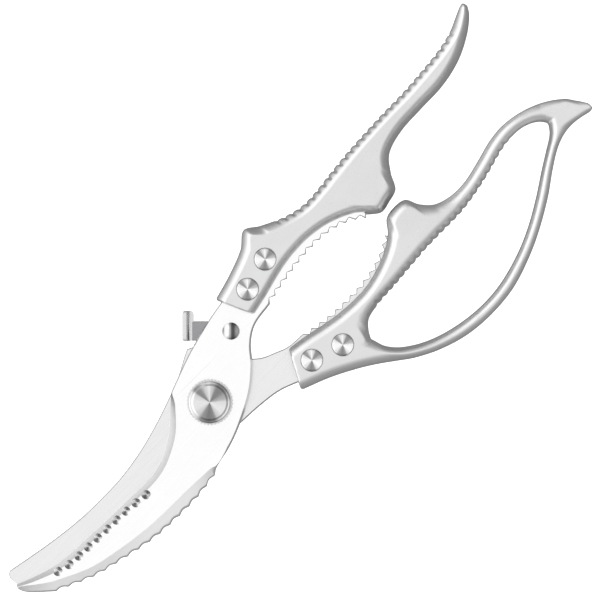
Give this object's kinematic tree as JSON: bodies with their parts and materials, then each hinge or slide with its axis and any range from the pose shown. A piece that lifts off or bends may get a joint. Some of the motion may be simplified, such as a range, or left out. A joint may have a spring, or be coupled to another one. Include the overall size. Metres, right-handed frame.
{
  "type": "poultry shears",
  "caption": "Curved spring-loaded shears for cutting poultry, with a closed finger loop, a nutcracker grip between the handles and a thumb latch.",
  "frame": {"origin": "on the pivot axis, at the underside of the pivot nut, in the plane the closed shears lie on", "axes": "+X from the pivot towards the handles, +Y towards the thumb handle, +Z out of the front face along the pivot axis"},
  "size_m": [0.2541, 0.0819, 0.0132],
  "materials": {
    "front_blade_steel": "finely ground",
    "rear_blade_steel": "finely ground",
    "thumb_handle_casting": "satin, lightly blasted",
    "finger_handle_casting": "satin, lightly blasted",
    "spun_rivet": "turned",
    "turned_pivot": "turned",
    "washer_steel": "satin",
    "spring_wire": "drawn",
    "latch_steel": "ground",
    "latch_rivet_steel": "polished"
  },
  "bodies": {
    "front_half": {"front_blade": "front_blade_steel", "thumb_handle": "thumb_handle_casting", "thumb_rivet_1_front": "spun_rivet", "thumb_rivet_1_back": "spun_rivet", "thumb_rivet_2_front": "spun_rivet", "thumb_rivet_2_back": "spun_rivet", "pivot_screw": "turned_pivot", "pivot_nut": "turned_pivot", "front_washer": "washer_steel", "back_washer": "washer_steel", "torsion_spring": "spring_wire", "latch_rivet": "latch_rivet_steel", "latch_washer": "latch_steel"},
    "rear_half": {"rear_blade": "rear_blade_steel", "finger_handle": "finger_handle_casting", "finger_rivet_1_front": "spun_rivet", "finger_rivet_1_back": "spun_rivet", "finger_rivet_2_front": "spun_rivet", "finger_rivet_2_back": "spun_rivet"},
    "latch": {"latch_lever": "latch_steel"}
  },
  "joints": [
    {"name": "main_pivot", "type": "hinge", "parent": "front_half", "child": "rear_half", "pos_m": [0, 0, 0.0065], "axis": [0, 0, -1], "range_deg": [0, 33], "deforming": ["torsion_spring"]},
    {"name": "latch_pivot", "type": "hinge", "parent": "front_half", "child": "latch", "pos_m": [0.0221, 0.012, 0.0047], "axis": [0, 0, 1], "range_deg": [0, 6]}
  ]
}
